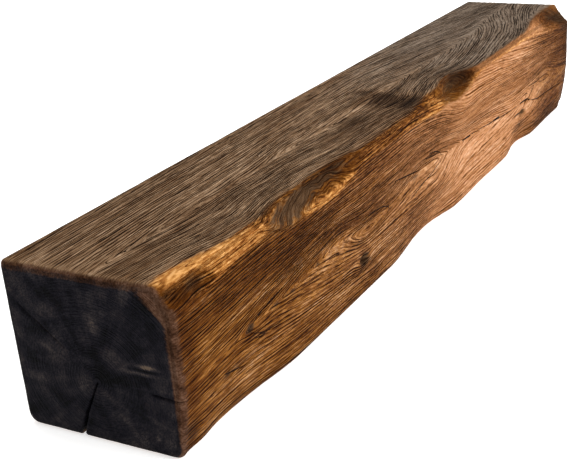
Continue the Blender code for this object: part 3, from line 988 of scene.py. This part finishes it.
grain = add_node("Attribute", output=1, attribute_name="grain")
number = {name: add_node("Attribute", output=2, attribute_name=name)
          for name in ATTRIBUTES}
raw = {}
for name, (size, detail, rough) in PATTERNS.items():
    scale = tuple(1000.0 / value for value in size)
    place = add_node("Mapping", {"Vector": grain, "Scale": scale})
    raw[name] = add_node("TexNoise",
                         {"Vector": place, "Scale": 1.0, "Detail": detail, "Roughness": rough})
for name, size in ROUND_MM.items():
    scale = tuple(1000.0 / value for value in size)
    place = add_node("Mapping",
                     {"Vector": add_node("TexCoord", output=3), "Scale": scale})
    raw[name] = add_node("TexNoise",
                         {"Vector": place, "Scale": 1.0, "Detail": 3.0, "Roughness": 0.55})
noise = {name: add_node("MapRange", {0: raw[name], 1: 0.36, 2: 0.64, 3: -1.0, 4: 1.0},
                        interpolation_type="SMOOTHSTEP")
         for name in ("streak", "pore", "coming", "broken", "blotch", "speck", "patch", "fleck")}
print("patterns", list(raw))

# %% [markdown]
# Each ring's line of pores is drawn where the count passes a whole number. The
# distance to it in rings, times the spacing on the surface, gives millimetres, so
# the line is as thin in a wide cathedral as in tight straight grain. Some years
# are stronger than others, and every line comes and goes along its length. Finer
# lines lie between them in places, and beside them a ridge, raised in the bump and
# lightened in the tone as a painted highlight on its lit side.

# %% Ring lines
pushed = add_shares(number["rings"], ((noise["streak"], 0.14), (noise["coming"], 0.15)))


def draw_lines(per_ring, shift, start, end):
    """A line at every whole number of count * per_ring + shift, 1 inside start mm, 0 past end mm."""
    line = add_node("Math", {0: pushed, 1: per_ring, 2: shift}, operation="MULTIPLY_ADD")
    line = add_node("Math", {0: line, 1: 0.5, 2: -0.5}, operation="WRAP")
    line = add_node("Math", {0: line}, operation="ABSOLUTE")
    line = add_node("Math", {0: line, 1: number["spacing"]}, operation="MULTIPLY")
    return add_node("MapRange",
                    {0: line, 1: start * per_ring, 2: end * per_ring, 3: 1.0, 4: 0.0},
                    interpolation_type="SMOOTHSTEP")


year = add_node("CombineXYZ", {0: number["rings"]})
year = add_node("TexNoise", {"Vector": year, "Scale": 0.7, "Detail": 1.0})
year = add_node("MapRange", {0: year, 1: 0.36, 2: 0.60, 3: 0.55, 4: 1.0})
coming = add_node("MapRange", {0: noise["coming"], 1: -1.0, 2: 0.4, 3: 0.35, 4: 1.0})
broken = add_node("MapRange", {0: noise["broken"], 1: -0.4, 2: 0.7, 3: 0.0, 4: 1.0})
line, fine = draw_lines(1.0, 0.0, 0.18, 0.62), draw_lines(2.0, 0.5, 0.07, 0.36)
# The ridge beside each line is a painted highlight in the tone and a raised ridge in the bump.
ridge_and_highlight = draw_lines(1.0, 0.28, 0.05, 0.45)
for share in (year, coming, number["clear"]):
    line = add_node("Math", {0: line, 1: share}, operation="MULTIPLY")
for share in (broken, number["clear"]):
    fine = add_node("Math", {0: fine, 1: share}, operation="MULTIPLY")
    ridge_and_highlight = add_node("Math", {0: ridge_and_highlight, 1: share}, operation="MULTIPLY")
print("nodes so far", len(tree.nodes))

# %% [markdown]
# Everything that darkens or lightens the wood now adds to one number, the tone.
# Pores and ring lines take from it, the ridges beside them add a painted highlight
# to it, and knots, deeper-toned places and painted shade lower it as a whole, so
# their grain still shows through.

# %% Tone
TONE_MIDDLE = 0.76
rough_worn_and_highlight = add_node("Math", {0: noise["fleck"], 1: number["worn_and_highlight"]}, operation="MULTIPLY")
TONE_SHARES = ((noise["streak"], 0.05), (noise["pore"], 0.13), (noise["blotch"], 0.06), (line, -0.90),
               (fine, -0.52), (ridge_and_highlight, 0.24), (rough_worn_and_highlight, 0.20), (number["dark"], -0.22),
               (number["deep_tone_and_shade"], -0.26))
tone = add_node("Clamp", {0: add_shares(TONE_MIDDLE, TONE_SHARES)})
print("tone from", len(TONE_SHARES), "shares")

# %% [markdown]
# ## Colour of each face
#
# Each ramp runs from the stained pore to the palest tone, which the ridges' painted
# highlight reaches. The layers go on in this order: stain, amber of rubbed wax
# and painted highlight, dark knots and painted shade, the near-black ends, and
# last the painted shadow inside the cracks.

# %% Ramps
RAMPS = {
    "front": ((0.0, "100400"), (0.25, "2c1200"), (0.55, "502a06"), (0.8, "744818"), (1.0, "a47440")),
    "pale": ((0.0, "54300f"), (0.25, "7e4e28"), (0.55, "98663e"), (0.8, "ae7c56"), (1.0, "c89c7a")),
    # The cool ramp is the top's grey-brown, with a painted sheen of reflected light in it.
    "cool": ((0.0, "120802"), (0.25, "2e1c0c"), (0.55, "614730"), (0.8, "896d52"), (1.0, "b09478")),
    "grey": ((0.0, "18110b"), (0.25, "34281d"), (0.55, "58493c"), (0.8, "716152"), (1.0, "8c7c6c")),
    # The amber ramp below is rubbed wax and also the painted highlight on the chamfer.
    "worn_and_highlight": ((0.0, "2a1200"), (0.25, "5e300a"), (0.55, "905a28"), (0.8, "ae7a40"), (1.0, "cc985e")),
    "dark": ((0.0, "120802"), (0.25, "241408"), (0.55, "3a2716"), (0.8, "523c28"), (1.0, "705640")),
    "end_grain": ((0.0, "140a05"), (0.25, "301c10"), (0.55, "4c3324"), (0.8, "64493a"), (1.0, "866c5a")),
    "end_black": ((0.0, "060607"), (0.3, "131218"), (0.55, "221f22"), (0.8, "383231"), (1.0, "5c4e42")),
}
tones = {name: tone for name in RAMPS}
tones["end_black"] = add_shares(
    0.0, ((number["ray"], 0.80), (noise["patch"], 0.13), (noise["speck"], 0.12), (line, -0.22)))
tones["end_grain"] = add_shares(
    0.42, ((number["ray"], 0.20), (noise["patch"], 0.16), (noise["speck"], 0.12), (line, -0.34)))
colours = {name: add_node("ValToRGB", {0: tones[name]}, stops=stops)
           for name, stops in RAMPS.items()}
print("finishes", list(colours))

# %% [markdown]
# No stain ends in a clean edge. Noise is added to each mask before its threshold, so
# one finish breaks up along the grain where it meets the next.

# %% Layers
# (mask, share of the blotches, share of the streaks, where it starts, where it is full)
masks = {}
for name, spread, ragged, low, high in (
        ("pale", 0.06, 0.04, 0.10, 0.90), ("cool", 0.20, 0.14, 0.15, 0.85), ("grey", 0.08, 0.04, 0.10, 0.90),
        ("worn_and_highlight", 0.20, 0.14, 0.30, 0.85), ("dark", 0.12, 0.10, 0.20, 0.85),
        ("end_grain", 0.04, 0.06, 0.12, 0.88), ("end_black", 0.08, 0.06, 0.12, 0.88)):
    shifted = add_shares(
        number[name], ((noise["blotch"], spread), (noise["streak"], ragged), (noise["fleck"], 0.10)))
    masks[name] = add_node("MapRange", {0: shifted, 1: low, 2: high},
                           interpolation_type="SMOOTHSTEP")
colour = colours["front"]
for name, mask in masks.items():
    colour = add_node("Mix", {0: mask, 6: colour, 7: colours[name]}, output=2,
                      data_type="RGBA")
print("layers", list(masks))

# %% [markdown]
# A crack, and the shadow line under the chamfer, is painted in a dark shadow colour
# where the distance from its line is less than its half width. The waxed wood is a
# dull satin, and its dark pores duller still. A fine bump from the same lines and
# pores gives the brushed surface its tooth in raking light.

# %% Cracks, gloss and fine relief
distance = add_node("Math", {0: number["crack_side"]}, operation="ABSOLUTE")
inside = add_node("Math", {0: number["crack_half"], 1: distance}, operation="SUBTRACT")
crack = add_node("MapRange", {0: inside, 1: 0.0, 2: 0.0004})
colour = add_node("Mix", {0: crack, 6: colour, 7: linear("0c0705")}, output=2,
                  data_type="RGBA")

gloss = add_node("MapRange", {0: tone, 1: 0.0, 2: 1.0, 3: 0.75, 4: 0.50})
height = add_shares(0.0, ((noise["streak"], 0.30), (noise["pore"], 0.15), (line, -0.70),
                          (fine, -0.50), (ridge_and_highlight, 0.30)))
bump = add_node("Bump", {"Strength": 0.7, "Distance": 0.0016, "Height": height})
shader = add_node("BsdfPrincipled",
                  {"Base Color": colour, "Roughness": gloss, "Normal": bump, "IOR": 1.5,
                   "Specular IOR Level": 0.02})
add_node("OutputMaterial", {"Surface": shader})
mesh.materials.append(oak)
print("nodes in the oak", len(tree.nodes))

# %% [markdown]
# ## The studio
#
# The photograph is lit softly from the front, so the hewn face glows and the
# sawn top stays dull. One large soft light stands in front of the beam, a weaker
# one hangs above, and the pale room fills the rest.

# %% Floor and lights
floor_mesh = bpy.data.meshes.new("studio_floor")
floor_mesh.from_pydata([(-6, -6, 0), (8, -6, 0), (8, 6, 0), (-6, 6, 0)], [], [(0, 1, 2, 3)])
floor = bpy.data.objects.new("studio_floor", floor_mesh)
bpy.context.scene.collection.objects.link(floor)
paper = bpy.data.materials.new("white_paper")
paper.use_nodes = True
sockets = paper.node_tree.nodes["Principled BSDF"].inputs
sockets["Base Color"].default_value = linear("f4f3f1")
sockets["Roughness"].default_value = 0.9
sockets["Emission Color"].default_value = linear("ffffff")
sockets["Emission Strength"].default_value = 0.6
floor_mesh.materials.append(paper)

LIGHTS = (
    ("front_softbox", (0.3, -2.4, 1.3), (0.1, 0.0, 0.07), 2.0, 80.0),
    ("top_softbox", (0.5, 0.4, 2.8), (0.3, 0.0, 0.0), 2.4, 45.0),
)
for name, place, target, size, power in LIGHTS:
    lamp = bpy.data.lights.new(name, "AREA")
    lamp.size, lamp.energy = size, power
    lamp_object = bpy.data.objects.new(name, lamp)
    lamp_object.location = place
    way = [to - at for to, at in zip(target, place)]
    lamp_object.rotation_euler = (math.atan2(math.hypot(way[0], way[1]), -way[2]), 0.0,
                                  math.atan2(-way[0], way[1]))
    bpy.context.scene.collection.objects.link(lamp_object)

world = bpy.data.worlds.new("pale_room")
world.use_nodes = True
sockets = world.node_tree.nodes["Background"].inputs
sockets["Color"].default_value = linear("ffffff")
sockets["Strength"].default_value = 0.55
bpy.context.scene.world = world
bpy.context.scene.view_settings.view_transform = "Standard"
print("lights", [light[0] for light in LIGHTS])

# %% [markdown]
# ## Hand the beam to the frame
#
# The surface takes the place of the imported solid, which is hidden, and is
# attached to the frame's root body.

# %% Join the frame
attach(timber, "root")
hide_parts("oak_beam")
